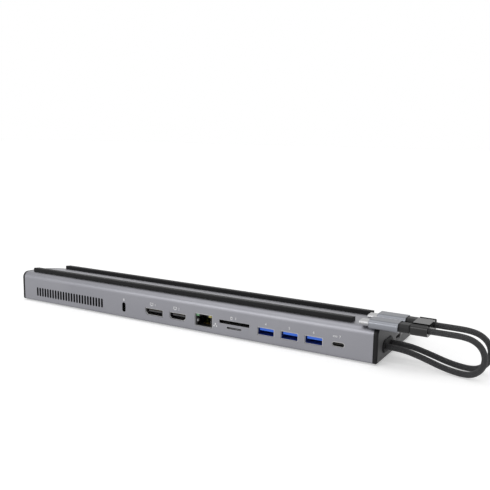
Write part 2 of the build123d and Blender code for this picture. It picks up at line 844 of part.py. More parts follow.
# Cables: places along each from its exit at the grommet to its plug, chosen by hand
exit_x = end_face_x + grommet_flange
near_route = [
    (0.0, 0.0, 0.0),
    (11.0, 0.0, 0.0),
    (25.0, -0.9, -3.2),
    (39.2, -2.6, -7.0),
    (53.1, -4.8, -8.0),
    (59.6, -6.2, -4.5),
    (63.2, -7.5, 1.7),
    (63.0, -8.8, 8.9),
    (59.2, -10.0, 14.7),
    (52.4, -11.2, 17.9),
    (37.8, -12.0, 18.25),
    (19.1, -12.0, 18.25),
]
far_route = [
    (0.0, 0.0, 0.0),
    (11.0, 0.0, 0.0),
    (25.2, -0.5, -3.1),
    (39.8, -1.4, -7.0),
    (53.8, -2.7, -8.0),
    (60.4, -3.5, -4.5),
    (64.1, -4.3, 1.7),
    (63.9, -5.1, 8.9),
    (60.0, -5.9, 14.7),
    (53.0, -6.6, 17.9),
    (37.8, -7.0, 18.25),
    (19.1, -7.0, 18.25),
]
near_points = [Vector(exit_x, cable_rows[0], cable_level) + Vector(*step) for step in near_route]
far_points = [Vector(exit_x, cable_rows[1], cable_level) + Vector(*step) for step in far_route]


arc_share = 0.45


def bend_radii(points):
    """Largest arc at each corner that leaves a tenth of the shorter run straight."""
    radii = []
    for before, corner, after in zip(points, points[1:], points[2:]):
        turn = (corner - before).get_angle(after - corner)
        shorter = min((corner - before).length, (after - corner).length)
        radii.append(arc_share * shorter / tan(radians(turn) / 2))
    return radii


def cable(name, points):
    radii = bend_radii(points)
    with BuildPart() as tube:
        with BuildLine():
            path = FilletPolyline(*points, radius=radii)
        with BuildSketch(Plane(origin=path @ 0, z_dir=path % 0)):
            Circle(cable_radius)
        sweep(path=path)
    expected = pi * cable_radius**2 * path.length
    print(name, "length", round(path.length, 2), "radii", [round(r, 1) for r in radii])
    print(name, "volume", round(tube.part.volume, 2), "section times length", round(expected, 2))
    print(name, "lowest point", round(tube.part.bounding_box().min.Z, 2))
    save(tube.part, name)


cable("cable_near", near_points)
cable("cable_far", far_points)


# Plugs: steel tip, metal housing and a soft collar where the cable enters
def plug(side, cable_end):
    collar_start = cable_end.X
    housing_start = collar_start - collar_size[2]
    tip_start = housing_start - housing_size[2]
    place = (cable_end.Y, cable_end.Z)
    with BuildPart() as collar:
        with BuildSketch(end_plane(housing_start)):
            with Locations(place):
                RectangleRounded(collar_size[0], collar_size[1], collar_corner)
        extrude(amount=collar_size[2])
        chamfer(collar.faces().sort_by(Axis.X)[-1].edges(), collar_chamfer)
    save(collar.part, f"{side}_plug_collar")
    with BuildPart() as housing:
        with BuildSketch(end_plane(tip_start)):
            with Locations(place):
                RectangleRounded(housing_size[0], housing_size[1], housing_corner)
        extrude(amount=housing_size[2])
        chamfer(housing.faces().sort_by(Axis.X)[0].edges(), housing_chamfer)
        with BuildSketch(end_plane(tip_start)):
            with Locations(place):
                SlotOverall(tip_size[0] + 2 * screw_gap, tip_size[1] + 2 * screw_gap)
        extrude(amount=tip_seat_depth, mode=Mode.SUBTRACT)
    save(housing.part, f"{side}_plug_housing")
    with BuildPart() as tip:
        with BuildSketch(end_plane(tip_start - tip_length)):
            with Locations(place):
                SlotOverall(tip_size[0], tip_size[1])
        extrude(amount=tip_length + tip_seat_depth)
        with BuildSketch(end_plane(tip_start - tip_length)):
            with Locations(place):
                SlotOverall(tip_size[0] - 2 * shell_sheet, tip_size[1] - 2 * shell_sheet)
        extrude(amount=tip_length - tip_floor, mode=Mode.SUBTRACT)
    save(tip.part, f"{side}_plug_tip")


plug("near", near_points[-1])
plug("far", far_points[-1])

# Clip: slides on both cables behind the plugs; each channel is open at the top by a narrow slit
clip_start = near_points[-1].X + clip_travel_start
channel_bore = cable_radius + cable_clearance
clip_middle = (near_points[-1].Y + far_points[-1].Y) / 2
clip_level = near_points[-1].Z
clip_pitch = far_points[-1].Y - near_points[-1].Y
clip_width = clip_pitch + 2 * channel_bore + 2 * clip_side_wall
with BuildPart() as plug_clip:
    with BuildSketch(end_plane(clip_start)):
        with Locations((clip_middle, clip_level)):
            RectangleRounded(clip_width, clip_height, clip_corner)
        for row in (near_points[-1].Y, far_points[-1].Y):
            with Locations((row, clip_level)):
                Circle(channel_bore, mode=Mode.SUBTRACT)
            with Locations((row, clip_level + clip_height / 2)):
                Rectangle(slit_width, clip_height, mode=Mode.SUBTRACT)
    extrude(amount=clip_length)
save(plug_clip.part, "plug_clip")
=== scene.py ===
# %% [markdown]
# A laptop docking station, piece by piece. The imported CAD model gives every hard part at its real
# size. This script adds what makes them look real: finishes, woven cables, gold contacts, printed
# numbers and the small machined lips around the openings. Everything is in metres.

# %% Load the frame
import bpy
import bmesh
from math import cos, pi, radians, sin
from mathutils import Matrix, Vector


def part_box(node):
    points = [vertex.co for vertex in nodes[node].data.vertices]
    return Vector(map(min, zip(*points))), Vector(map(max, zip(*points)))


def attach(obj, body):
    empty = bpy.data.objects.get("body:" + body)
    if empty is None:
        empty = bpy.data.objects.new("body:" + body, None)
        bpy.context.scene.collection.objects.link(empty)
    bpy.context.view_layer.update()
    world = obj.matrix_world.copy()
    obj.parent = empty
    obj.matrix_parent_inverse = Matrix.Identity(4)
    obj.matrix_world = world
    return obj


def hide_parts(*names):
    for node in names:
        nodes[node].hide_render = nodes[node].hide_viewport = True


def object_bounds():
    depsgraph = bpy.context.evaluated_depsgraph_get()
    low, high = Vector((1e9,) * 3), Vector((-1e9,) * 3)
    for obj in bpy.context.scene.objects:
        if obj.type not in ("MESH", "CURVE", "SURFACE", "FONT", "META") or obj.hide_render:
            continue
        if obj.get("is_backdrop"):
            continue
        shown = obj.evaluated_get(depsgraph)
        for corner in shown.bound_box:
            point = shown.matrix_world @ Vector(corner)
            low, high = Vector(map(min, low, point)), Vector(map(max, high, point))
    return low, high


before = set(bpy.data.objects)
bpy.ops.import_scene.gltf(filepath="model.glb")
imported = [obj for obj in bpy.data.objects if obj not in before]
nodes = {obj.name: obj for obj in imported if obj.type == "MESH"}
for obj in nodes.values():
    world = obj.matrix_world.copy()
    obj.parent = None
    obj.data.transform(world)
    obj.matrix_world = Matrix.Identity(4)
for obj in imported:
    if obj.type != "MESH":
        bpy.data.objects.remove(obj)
cad_low, cad_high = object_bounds()
MM = 0.001
print("pieces from CAD:", len(nodes))

# %% [markdown]
# The camera comes first, because everything is judged through it. It stands to the right of the
# dock and a little above it, looking back along the port face. Its turn is a pan, a tilt down and
# a slight roll, as on a tripod head.

# %% Camera
camera_place = Vector((0.2912, -0.4387, 0.1465))
camera_pan = radians(-29.83)
camera_tilt = radians(9.48)
camera_roll = radians(0.845)
camera_lens = 49.56

camera_data = bpy.data.cameras.new("camera")
camera_data.lens = camera_lens
camera_data.clip_start = 0.01
camera = bpy.data.objects.new("camera", camera_data)
bpy.context.scene.collection.objects.link(camera)
ahead = Vector((sin(camera_pan), cos(camera_pan), 0))
looking = ahead * cos(camera_tilt) + Vector((0, 0, -sin(camera_tilt)))
level_right = Vector((cos(camera_pan), -sin(camera_pan), 0))
level_up = level_right.cross(looking)
right = level_right * cos(camera_roll) + level_up * sin(camera_roll)
up = level_up * cos(camera_roll) - level_right * sin(camera_roll)
turn = Matrix((right, up, -looking)).transposed()
camera.matrix_world = Matrix.Translation(camera_place) @ turn.to_4x4()
bpy.context.scene.camera = camera
print("camera looks along", [round(v, 3) for v in looking])

# %% [markdown]
# Materials are built from shader nodes. One helper turns a hex colour, as a paint chart gives it,
# into the linear colour that the renderer works in. One fills a node's inputs with values or with
# links from other nodes, and one adds a node and fills it.


# %% Material helpers
def hex_colour(code):
    """Linear colour of an sRGB hex code such as #8A8A8E."""
    channels = [int(code[i : i + 2], 16) / 255 for i in (1, 3, 5)]
    linear = [c / 12.92 if c <= 0.04045 else ((c + 0.055) / 1.055) ** 2.4 for c in channels]
    return (*linear, 1.0)


def fill(tree, node, inputs):
    """Fills inputs. Each is a plain value, or a socket of another node to link from."""
    for name, value in inputs.items():
        if isinstance(value, bpy.types.NodeSocket):
            tree.links.new(value, node.inputs[name])
        else:
            node.inputs[name].default_value = value


def add_node(tree, kind, settings=None, inputs=None):
    """Adds a node with its settings and its inputs."""
    node = tree.nodes.new(kind)
    for name, value in (settings or {}).items():
        setattr(node, name, value)
    fill(tree, node, inputs or {})
    return node


def new_material(name):
    """An empty material with its output and its Principled shader."""
    material = bpy.data.materials.new(name)
    material.use_nodes = True
    tree = material.node_tree
    tree.nodes.clear()
    shader = add_node(tree, "ShaderNodeBsdfPrincipled")
    add_node(tree, "ShaderNodeOutputMaterial", None, {"Surface": shader.outputs["BSDF"]})
    return material, tree, shader


print("#8A8A8E in linear light:", [round(c, 3) for c in hex_colour("#8A8A8E")])

# %% [markdown]
# The body is anodised aluminium. It is extruded, blasted with fine glass beads, and dyed space
# grey, so it is a metal with no streaks: soft, even highlights over tiny dimples. Real bead marks
# are about 0.1 mm across; these are drawn at 0.35 mm so that they still read at this distance.
# The dye wanders very slightly between two shades, in clouds of a few centimetres.

# %% Anodised aluminium
bead_size = 0.35 * MM
bead_depth = 0.006 * MM
dye_cloud = 30 * MM
bead_shine = 0.05


def anodised_aluminium(name, dark, light, roughness):
    material, tree, shader = new_material(name)
    place = add_node(tree, "ShaderNodeTexCoord").outputs["Object"]
    beads = add_node(
        tree, "ShaderNodeTexNoise", None, {"Vector": place, "Scale": 1 / bead_size, "Detail": 2.0}
    ).outputs["Fac"]
    clouds = add_node(
        tree, "ShaderNodeTexNoise", None, {"Vector": place, "Scale": 1 / dye_cloud, "Detail": 1.0}
    ).outputs["Fac"]
    colour = add_node(
        tree,
        "ShaderNodeMix",
        {"data_type": "RGBA"},
        {"Factor": clouds, "A": hex_colour(dark), "B": hex_colour(light)},
    )
    shine = add_node(
        tree,
        "ShaderNodeMapRange",
        None,
        {"Value": beads, "To Min": roughness - bead_shine, "To Max": roughness + bead_shine},
    )
    bump = add_node(
        tree, "ShaderNodeBump", None, {"Height": beads, "Distance": bead_depth, "Strength": 1.0}
    )
    surface = {
        "Base Color": colour.outputs["Result"],
        "Metallic": 1.0,
        "Roughness": shine.outputs["Result"],
        "Normal": bump.outputs["Normal"],
    }
    fill(tree, shader, surface)
    return material


space_grey = anodised_aluminium("anodised aluminium, space grey", "#84848A", "#8E8E93", 0.42)
plug_grey = anodised_aluminium("anodised aluminium, plug shell", "#7A7C82", "#85878C", 0.36)
cut_edge = anodised_aluminium("anodised aluminium, cut edge", "#A6A6AA", "#B4B4B8", 0.3)
cover_grey = anodised_aluminium("anodised aluminium, bottom cover", "#6E6E72", "#77777B", 0.5)
print("aluminium finishes:", len(bpy.data.materials))

# %% [markdown]
# The end caps, sockets and clip are injection-moulded plastic. The caps come from a mould whose
# walls were spark eroded, which leaves a fine, even grain; the clip's mould was polished. Rubber
# and matt linings throw back less of the room than smooth plastic, so they have a lower specular
# level. One function makes them all. The grain's size and depth are given in millimetres.

# %% Moulded plastics and rubber
pigment_cloud = 18 * MM
grain_shine = 0.06


def moulded(name, dark, light, roughness, grain, depth, specular=0.5):
    material, tree, shader = new_material(name)
    place = add_node(tree, "ShaderNodeTexCoord").outputs["Object"]
    grit = add_node(
        tree,
        "ShaderNodeTexNoise",
        None,
        {"Vector": place, "Scale": 1 / (grain * MM), "Detail": 3.0},
    ).outputs["Fac"]
    clouds = add_node(
        tree,
        "ShaderNodeTexNoise",
        None,
        {"Vector": place, "Scale": 1 / pigment_cloud, "Detail": 2.0},
    ).outputs["Fac"]
    colour = add_node(
        tree,
        "ShaderNodeMix",
        {"data_type": "RGBA"},
        {"Factor": clouds, "A": hex_colour(dark), "B": hex_colour(light)},
    )
    shine = add_node(
        tree,
        "ShaderNodeMapRange",
        None,
        {"Value": grit, "To Min": roughness - grain_shine, "To Max": roughness + grain_shine},
    )
    bump = add_node(
        tree, "ShaderNodeBump", None, {"Height": grit, "Distance": depth * MM, "Strength": 1.0}
    )
    surface = {
        "Base Color": colour.outputs["Result"],
        "Roughness": shine.outputs["Result"],
        "IOR": 1.5,
        "Specular IOR Level": specular,
        "Normal": bump.outputs["Normal"],
    }
    fill(tree, shader, surface)
    return material


cap_rim_plastic = moulded("PC-ABS, fine satin", "#0E0E0F", "#151516", 0.45, 0.5, 0.004, 0.2)
cap_face_plastic = moulded("PC-ABS, spark-eroded grain", "#454546", "#4F4F50", 0.58, 0.4, 0.02)
socket_plastic = moulded("nylon, black", "#0C0C0D", "#131314", 0.5, 0.6, 0.005, 0.35)
tongue_plastic = moulded("nylon, charcoal", "#343436", "#3E3E40", 0.4, 0.6, 0.005)
# Painted shade: matt black for the inside of the air slots and the lock slot.
slot_shade_black = moulded("matt black, painted slot shade", "#060606", "#0A0A0A", 0.9, 0.3, 0.01, 0.1)
tongue_blue = moulded("PBT, blue", "#2F6BE4", "#3A78F0", 0.4, 0.6, 0.005)
# Painted shade: a darker copy of the tongue's blue plastic, for the dim recess round the tongue.
navy_painted_shade = moulded("painted shade, navy", "#14286E", "#1A3282", 0.5, 0.6, 0.005)
clip_plastic = moulded("ABS, polished black", "#0F0F10", "#161617", 0.18, 0.5, 0.002, 0.4)
collar_plastic = moulded("TPE, satin black", "#161617", "#1E1E1F", 0.5, 0.3, 0.01, 0.3)
rail_rubber = moulded("silicone rubber, black", "#101011", "#171718", 0.65, 0.3, 0.015, 0.25)
chip_plastic = moulded("epoxy moulding, black", "#1C1C1D", "#242425", 0.6, 0.2, 0.01)
pad_rubber = moulded("thermal silicone, grey", "#8E979E", "#9AA3AA", 0.7, 0.4, 0.01)
board_mask = moulded("solder mask, green", "#12402A", "#174A31", 0.35, 1.2, 0.01)
print("with the plastics:", len(bpy.data.materials))

# %% [markdown]
# Connector shells are stamped steel with a bright tin plating, and contacts are gold over nickel.
# Sheet metal is rolled before it is stamped, so its shine has faint lines along the rolling
# direction. A noise that is squeezed across that direction gives them.

# %% Plated metals
rolling_line_width = 0.25 * MM
rolling_line_length = 25 * MM


def plated(name, dark, light, roughness):
    material, tree, shader = new_material(name)
    place = add_node(tree, "ShaderNodeTexCoord").outputs["Object"]
    squeeze = (1 / rolling_line_width, 1 / rolling_line_length, 1 / rolling_line_width)
    stretched = add_node(tree, "ShaderNodeMapping", None, {"Vector": place, "Scale": squeeze})
    lines = add_node(
        tree, "ShaderNodeTexNoise", None, {"Vector": stretched.outputs["Vector"], "Scale": 1.0}
    ).outputs["Fac"]
    colour = add_node(
        tree,
        "ShaderNodeMix",
        {"data_type": "RGBA"},
        {"Factor": lines, "A": hex_colour(dark), "B": hex_colour(light)},
    )
    shine = add_node(
        tree,
        "ShaderNodeMapRange",
        None,
        {"Value": lines, "To Min": roughness - 0.06, "To Max": roughness + 0.08},
    )
    surface = {
        "Base Color": colour.outputs["Result"],
        "Metallic": 1.0,
        "Roughness": shine.outputs["Result"],
    }
    fill(tree, shader, surface)
    return material


tin_plate = plated("steel, tin plated", "#9C9C9D", "#B8B8B9", 0.32)
gold_plate = plated("gold over nickel", "#9A7A3C", "#B39350", 0.3)
screw_steel = plated("steel, black oxide", "#2C2C2E", "#3A3A3C", 0.38)
print("with the plated metals:", len(bpy.data.materials))

# %% [markdown]
# The dust screen behind the air slots is woven steel wire. At this size its holes can't be seen
# one by one, so the weave is drawn as a fine grid of bump and shade on a flat sheet.

# %% Dust screen
screen_pitch = 0.6 * MM
screen_depth = 0.1 * MM


def woven_screen():
    material, tree, shader = new_material("steel mesh, black")
    place = add_node(tree, "ShaderNodeTexCoord").outputs["Object"]
    cells = add_node(
        tree,
        "ShaderNodeTexVoronoi",
        {"distance": "CHEBYCHEV"},
        {"Vector": place, "Scale": 1 / screen_pitch, "Randomness": 0.0},
    ).outputs["Distance"]
    colour = add_node(
        tree,
        "ShaderNodeMix",
        {"data_type": "RGBA"},
        {"Factor": cells, "A": hex_colour("#030303"), "B": hex_colour("#151516")},
    )
    bump = add_node(
        tree, "ShaderNodeBump", None, {"Height": cells, "Distance": screen_depth, "Strength": 1.0}
    )
    surface = {
        "Base Color": colour.outputs["Result"],
        "Metallic": 0.6,
        "Roughness": 0.5,
        "Normal": bump.outputs["Normal"],
    }
    fill(tree, shader, surface)
    return material


screen_wire = woven_screen()
print("dust screen pitch in mm:", screen_pitch / MM)

# %% [markdown]
# Two small light guides sit in the top corners of the network socket. They are one clear plastic
# with a faint glow, green on the left of the socket and amber on the right, so the colour follows
# the side that a point is on.


# %% Light guides
def light_guides(middle):
    material, tree, shader = new_material("polycarbonate, clear light guide")
    place = add_node(tree, "ShaderNodeTexCoord").outputs["Object"]
    apart = add_node(tree, "ShaderNodeSeparateXYZ", None, {"Vector": place})
    side = add_node(
        tree, "ShaderNodeMath", {"operation": "GREATER_THAN"}, {0: apart.outputs["X"], 1: middle}
    )
    colour = add_node(
        tree,
        "ShaderNodeMix",
        {"data_type": "RGBA"},
        {"Factor": side.outputs["Value"], "A": hex_colour("#5E8F68"), "B": hex_colour("#98904E")},
    ).outputs["Result"]
    surface = {
        "Base Color": colour,
        "Emission Color": colour,
        "Emission Strength": 0.12,
        "Roughness": 0.25,
        "IOR": 1.58,
    }
    fill(tree, shader, surface)
    return material


guide_low, guide_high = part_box("rj45_light_guides")
guide_plastic = light_guides((guide_low.x + guide_high.x) / 2)
print("light guides span in mm:", round((guide_high.x - guide_low.x) / MM, 1))

# %% [markdown]
# Every carried-over CAD piece now gets its finish. A table from node to material is easier to
# check than a long chain of assignments.

# %% Finishes for the CAD pieces
finishes = {
    space_grey: ["shell"],
    cover_grey: ["bottom_cover", "heat_spreader"],
    plug_grey: ["near_plug_housing", "far_plug_housing"],
    cap_rim_plastic: ["left_end_cap", "right_end_cap"],
    collar_plastic: ["near_plug_collar", "far_plug_collar", "cable_tails"],
    clip_plastic: ["plug_clip"],
    rail_rubber: [
        "top_rail_rear",
        "top_rail_front",
        "rear_foot_strip",
        "front_foot_strip",
        "cable_grommet",
    ],
    tongue_blue: ["usb_a_insert_1", "usb_a_insert_2", "usb_a_insert_3"],
    tongue_plastic: ["hdmi_insert", "displayport_insert"],
    socket_plastic: [
        "usb_c_power_insert",
        "usb_c_side_insert",
        "rj45_body",
        "cable_headers",
        "cable_clamp",
    ],
    tin_plate: [
        "usb_a_shell_1",
        "usb_a_shell_2",
        "usb_a_shell_3",
        "hdmi_shell",
        "displayport_shell",
        "usb_c_power_shell",
        "usb_c_side_shell",
        "rj45_shield",
        "sd_reader",
        "microsd_reader",
        "near_plug_tip",
        "far_plug_tip",
        "left_end_plate",
        "right_end_plate",
        "lock_plate",
        "board_nuts",
    ],
    screw_steel: ["cover_screws", "end_plate_screws", "board_screws", "clamp_screws"],
    screen_wire: ["vent_mesh"],
    guide_plastic: ["rj45_light_guides"],
    board_mask: ["main_board"],
    chip_plastic: [
        "main_controller_chip",
        "display_chip",
        "network_chip",
        "power_chip",
        "board_inductors",
        "board_capacitors",
    ],
    pad_rubber: ["thermal_pads"],
}
for material, names in finishes.items():
    for name in names:
        nodes[name].data.materials.clear()
        nodes[name].data.materials.append(material)
unfinished = set(nodes) - {name for names in finishes.values() for name in names}
print("still to be made here:", sorted(unfinished))

# %% [markdown]
# Two short cables leave the right end and turn back to their plugs, which lie on the end of the
# body. A cable bends in one smooth line, so each is a NURBS spline through a short list of places,
# counted from where it leaves the grommet.

# %% Cable routes
cable_radius = 1.95 * MM
grommet_low, grommet_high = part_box("cable_grommet")
exit_height = (grommet_low.z + grommet_high.z) / 2
exit_middle = (grommet_low.y + grommet_high.y) / 2
exit_spacing = 11.0 * MM
near_exit = Vector((grommet_high.x, exit_middle - exit_spacing / 2, exit_height))
far_exit = Vector((grommet_high.x, exit_middle + exit_spacing / 2, exit_height))
near_route = [
    (0.0, 0.0, 0.0),
    (0.0110, 0.0, 0.0),
    (0.0250, -0.0009, -0.0032),
    (0.0392, -0.0026, -0.0070),
    (0.0531, -0.0048, -0.0080),
    (0.0596, -0.0062, -0.0045),
    (0.0632, -0.0075, 0.0017),
    (0.0630, -0.0088, 0.0089),
    (0.0592, -0.0100, 0.0147),
    (0.0524, -0.0112, 0.0179),
    (0.0378, -0.0120, 0.01825),
    (0.0191, -0.0120, 0.01825),
]
far_route = [
    (0.0, 0.0, 0.0),
    (0.0110, 0.0, 0.0),
    (0.0252, -0.0005, -0.0031),
    (0.0398, -0.0014, -0.0070),
    (0.0538, -0.0027, -0.0080),
    (0.0604, -0.0035, -0.0045),
    (0.0641, -0.0043, 0.0017),
    (0.0639, -0.0051, 0.0089),
    (0.0600, -0.0059, 0.0147),
    (0.0530, -0.0066, 0.0179),
    (0.0378, -0.0070, 0.01825),
    (0.0191, -0.0070, 0.01825),
]
print("points in each route:", len(near_route), len(far_route))


# %% Lines through the routes
def route_line(name, start, steps):
    """The cable's own line: points read back from a smooth spline, end to end."""
    curve = bpy.data.curves.new(name, "CURVE")
    curve.dimensions = "3D"
    curve.resolution_u = 24
    spline = curve.splines.new("NURBS")
    spline.points.add(len(steps) - 1)
    for point, step in zip(spline.points, steps):
        point.co = (*(start + Vector(step)), 1.0)
    spline.order_u = 3
    spline.use_endpoint_u = True
    holder = bpy.data.objects.new(name, curve)
    bpy.context.scene.collection.objects.link(holder)
    bpy.context.view_layer.update()
    graph = bpy.context.evaluated_depsgraph_get()
    line = bpy.data.meshes.new_from_object(holder.evaluated_get(graph))
    points = [vertex.co.copy() for vertex in line.vertices]
    bpy.data.objects.remove(holder)
    bpy.data.curves.remove(curve)
    bpy.data.meshes.remove(line)
    return points


def length_of(points):
    return sum((b - a).length for a, b in zip(points, points[1:]))


def evenly(points, spacing):
    """The same line with its points a fixed distance apart."""
    total = length_of(points)
    count = round(total / spacing)
    result, walked, index = [points[0].copy()], 0.0, 0
    for number in range(1, count):
        wanted = total * number / count
        while walked + (points[index + 1] - points[index]).length < wanted:
            walked += (points[index + 1] - points[index]).length
            index += 1
        part = (wanted - walked) / (points[index + 1] - points[index]).length
        result.append(points[index].lerp(points[index + 1], part))
    result.append(points[-1].copy())
    return result


near_length = length_of(route_line("near_line_measured", near_exit, near_route))
print("near cable's length in mm:", round(near_length / MM, 1))

# %% [markdown]
# The sleeve of a cable is a braid: flat bundles of thread wind round both ways and pass over and
# under each other. The places where they cross lie on a regular grid round the cable, so a cosine
# of the angle lifts one family of bundles exactly where it lowers the other. Real ones are finer;
# twelve each way are as many as still show.


# %% Polyester thread
filaments = 7
filament_depth = 0.015 * MM


def thread_material(name, dark, light):
    """Polyester thread: fine filaments along each bundle, with painted sheen on their crests and
    painted shade between them.
    """
    material, tree, shader = new_material(name)
    unrolled = add_node(tree, "ShaderNodeUVMap").outputs["UV"]
    across = add_node(tree, "ShaderNodeSeparateXYZ", None, {"Vector": unrolled}).outputs["X"]
    wave = add_node(
        tree, "ShaderNodeMath", {"operation": "MULTIPLY"}, {0: across, 1: filaments * 2 * pi}
    ).outputs["Value"]
    ridge = add_node(tree, "ShaderNodeMath", {"operation": "SINE"}, {0: wave}).outputs["Value"]
    height = add_node(
        tree, "ShaderNodeMath", {"operation": "MULTIPLY_ADD"}, {0: ridge, 1: 0.5, 2: 0.5}
    ).outputs["Value"]
    # The colour follows the filament ridges: painted sheen on the crests, painted shade in the
    # grooves.
    colour = add_node(
        tree,
        "ShaderNodeMix",
        {"data_type": "RGBA"},
        {"Factor": height, "A": hex_colour(dark), "B": hex_colour(light)},
    )
    bump = add_node(
        tree,
        "ShaderNodeBump",
        None,
        {"Height": height, "Distance": filament_depth, "Strength": 1.0},
    )
    surface = {
        "Base Color": colour.outputs["Result"],
        "Roughness": 0.5,
        "Specular IOR Level": 0.35,
        "Sheen Weight": 0.2,
        "Sheen Roughness": 0.4,
        "Normal": bump.outputs["Normal"],
    }
    fill(tree, shader, surface)
    return material


# The first colour is painted shade in the grooves, the second painted sheen on the crests.
thread = thread_material("polyester thread, black", "#1A1A1C", "#38383A")
print("filaments drawn on each bundle:", filaments)

# %% [markdown]
# One bundle is a flat rope, crowned on its outer side, that winds round the cable's line. It needs
# the line's direction and two side directions at every point, carried along so that the sleeve
# doesn't twist by itself.

# %% One bundle of the braid
bundles_each_way = 12
braid_pitch = 12.5 * MM
bundle_width = 0.78 * MM
bundle_lift = 0.07 * MM
bundle_crown = 0.05 * MM
sleeve_radius = cable_radius - bundle_lift - bundle_crown


def frames_along(points):
    """Direction and two side directions at each point, turning as little as possible."""
    result = []
    side = Vector((0, 1, 0))
    for index, point in enumerate(points):
        ahead = points[min(index + 1, len(points) - 1)] - points[max(index - 1, 0)]
        ahead.normalize()
        side = (side - ahead * side.dot(ahead)).normalized()
        result.append((point, ahead, side, ahead.cross(side)))
    return result


def add_bundle(mesh, uv, frames, spacing, start_angle, way):
    """One bundle: a closed flat rope, crowned outside, wound round the line."""
    half_turn = bundle_width / 2 / sleeve_radius
    slant = cos(pi / 4)
    section = ((-1, 0.0), (0, bundle_crown), (1, 0.0), (0, -bundle_crown))
    rows = []
    for index, (point, ahead, side, other) in enumerate(frames):
        angle = start_angle + way * 2 * pi * index * spacing / braid_pitch
        lift = way * bundle_lift * cos(bundles_each_way * angle)
        row = []
        for place, crown in section:
            turned = angle + place * half_turn * slant
            along = -way * place * bundle_width / 2 * slant
            outward = side * cos(turned) + other * sin(turned)
            reach = sleeve_radius + lift + crown
            row.append(mesh.verts.new(point + outward * reach + ahead * along))
        rows.append(row)
    mesh.faces.new(rows[0])
    mesh.faces.new(rows[-1])
    for index, (row, following) in enumerate(zip(rows, rows[1:])):
        for corner in range(4):
            after = (corner + 1) % 4
            face = mesh.faces.new((row[corner], row[after], following[after], following[corner]))
            face.smooth = True
            right, beyond = corner + 1, index + 1
            unrolled = ((corner, index), (right, index), (right, beyond), (corner, beyond))
            for loop, (u, v) in zip(face.loops, unrolled):
                loop[uv].uv = (u / 2, v * spacing / bundle_width)


print("bundles:", 2 * bundles_each_way, "on a radius in mm of", round(sleeve_radius / MM, 2))

# %% [markdown]
# Most meshes here are made in a bmesh: rings of corners come first, then the faces between them.
# Two helpers do the parts that come back all through this file.


# %% Mesh helpers
def join_rings(mesh, rings):
    """Faces between each ring of corners and the next."""
    faces = []
    for this, following in zip(rings, rings[1:]):
        for number in range(len(this)):
            after = (number + 1) % len(this)
            corners = (this[number], this[after], following[after], following[number])
            faces.append(mesh.faces.new(corners))
    return faces


def mesh_data(mesh, name):
    """Turns a finished bmesh into mesh data."""
    data = bpy.data.meshes.new(name)
    mesh.to_mesh(data)
    mesh.free()
    return data


# %% [markdown]
# Under the braid lies a plain round jacket, so that nothing shows through the gaps. A cable is its
# jacket and its bundles in one mesh, which leaves a few steps of jacket bare at each end.

# %% Jacket and whole cable
core_sides = 20
thread_spacing = 0.25 * MM
bare_steps = 2
core_stride = 4


def add_core(mesh, frames):
    """The jacket under the braid, closed at both ends."""
    radius = sleeve_radius - bundle_lift
    turns = [2 * pi * number / core_sides for number in range(core_sides)]
    rings = []
    for point, _, side, other in frames[::core_stride] + frames[-1:]:
        corners = [point + (side * cos(t) + other * sin(t)) * radius for t in turns]
        rings.append([mesh.verts.new(corner) for corner in corners])
    for face in join_rings(mesh, rings):
        face.smooth = True
    mesh.faces.new(rings[0][::-1])
    mesh.faces.new(rings[-1])


def braided_cable(name, start, steps, stand_in):
    line = route_line(name + "_line", start, steps)
    points = evenly(line, thread_spacing)
    frames = frames_along(points)
    mesh = bmesh.new()
    uv = mesh.loops.layers.uv.new("UVMap")
    covered = frames[bare_steps:-bare_steps]
    for way in (1, -1):
        for number in range(bundles_each_way):
            start_angle = 2 * pi * number / bundles_each_way
            add_bundle(mesh, uv, covered, thread_spacing, start_angle, way)
    bmesh.ops.recalc_face_normals(mesh, faces=mesh.faces)
    add_core(mesh, frames)
    data = mesh_data(mesh, name)
    cable = bpy.data.objects.new(name, data)
    bpy.context.scene.collection.objects.link(cable)
    data.materials.append(thread)
    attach(cable, "dock")
    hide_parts(stand_in)
    print(name, "length in mm", round(length_of(points) / MM, 1), "faces", len(data.polygons))


# %% [markdown]
# The grommet and the clip hold both cables. Each new cable hides the plain CAD stand-in that it
# replaces.

# %% The two cables
braided_cable("near_braided_cable", near_exit, near_route, "cable_near")
braided_cable("far_braided_cable", far_exit, far_route, "cable_far")

# %% [markdown]
# Sockets are rows of the same small contact, and the air slots are a row of the same black
# sleeve of painted shade. A row is one Geometry Nodes tree: it puts the modifier's own mesh on
# every point of a line. Its count and step are inputs, so one tree makes every row on the dock.


# %% A tree that repeats a piece along a line
def row_tree():
    tree = bpy.data.node_groups.new("row of pieces", "GeometryNodeTree")
    face = tree.interface
    face.new_socket("Geometry", in_out="INPUT", socket_type="NodeSocketGeometry")
    face.new_socket("Count", in_out="INPUT", socket_type="NodeSocketInt")
    face.new_socket("Start", in_out="INPUT", socket_type="NodeSocketVector")
    face.new_socket("Step", in_out="INPUT", socket_type="NodeSocketVector")
    face.new_socket("Finish", in_out="INPUT", socket_type="NodeSocketMaterial")
    face.new_socket("Geometry", in_out="OUTPUT", socket_type="NodeSocketGeometry")
    given = tree.nodes.new("NodeGroupInput").outputs
    line = add_node(
        tree,
        "GeometryNodeMeshLine",
        None,
        {"Count": given["Count"], "Start Location": given["Start"], "Offset": given["Step"]},
    )
    copies = add_node(
        tree,
        "GeometryNodeInstanceOnPoints",
        None,
        {"Points": line.outputs["Mesh"], "Instance": given["Geometry"]},
    )
    solid = add_node(
        tree, "GeometryNodeRealizeInstances", None, {"Geometry": copies.outputs["Instances"]}
    )
    finished = add_node(
        tree,
        "GeometryNodeSetMaterial",
        None,
        {"Geometry": solid.outputs["Geometry"], "Material": given["Finish"]},
    )
    add_node(tree, "NodeGroupOutput", None, {"Geometry": finished.outputs["Geometry"]})
    return tree


row_of_pieces = row_tree()
print("nodes in the row tree:", len(row_of_pieces.nodes))
